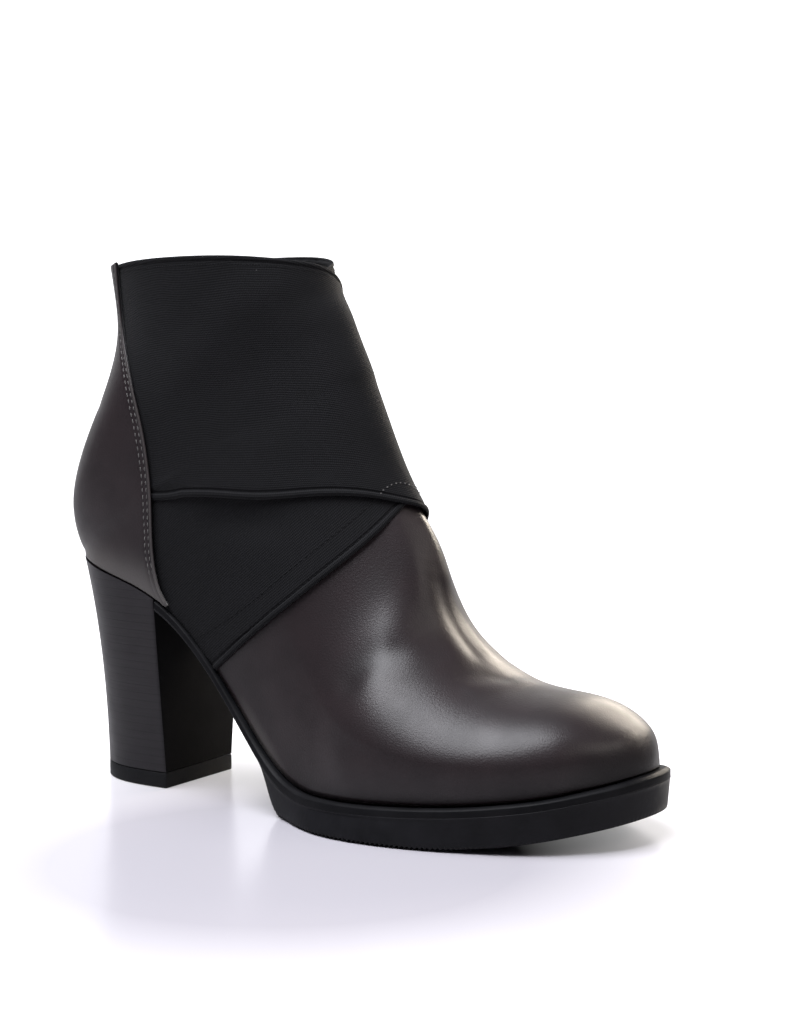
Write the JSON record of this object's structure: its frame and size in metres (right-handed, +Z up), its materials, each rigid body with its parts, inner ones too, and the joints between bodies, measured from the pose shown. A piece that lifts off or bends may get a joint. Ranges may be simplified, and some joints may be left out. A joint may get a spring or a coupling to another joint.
{
  "type": "heeled ankle boot",
  "caption": "Right pull-on ankle boot with leather vamp and counter, crossed wide elastic bands, low platform sole and tapered block heel.",
  "frame": {"origin": "middle of the boot's outline on the floor plane", "axes": "+X towards the toe, +Y to the wearer's left (the inner side of this right boot), +Z up"},
  "size_m": [0.2552, 0.1008, 0.2049],
  "materials": {
    "leather": "smooth dark brown-grey, softly glossy, fine grain",
    "elastic": "matte black ribbed weave",
    "sole_rubber": "satin black",
    "heel_block": "stacked and edge-dyed, satin black-brown",
    "footbed": "matte dark lining leather"
  },
  "bodies": {
    "root": {"upper": "leather", "heel_counter": "leather", "elastic_band_over": "elastic", "elastic_band_under": "elastic", "welt": "sole_rubber", "outsole": "sole_rubber", "heel": "heel_block", "heel_top_lift": "sole_rubber", "insole": "footbed"}
  },
  "joints": []
}
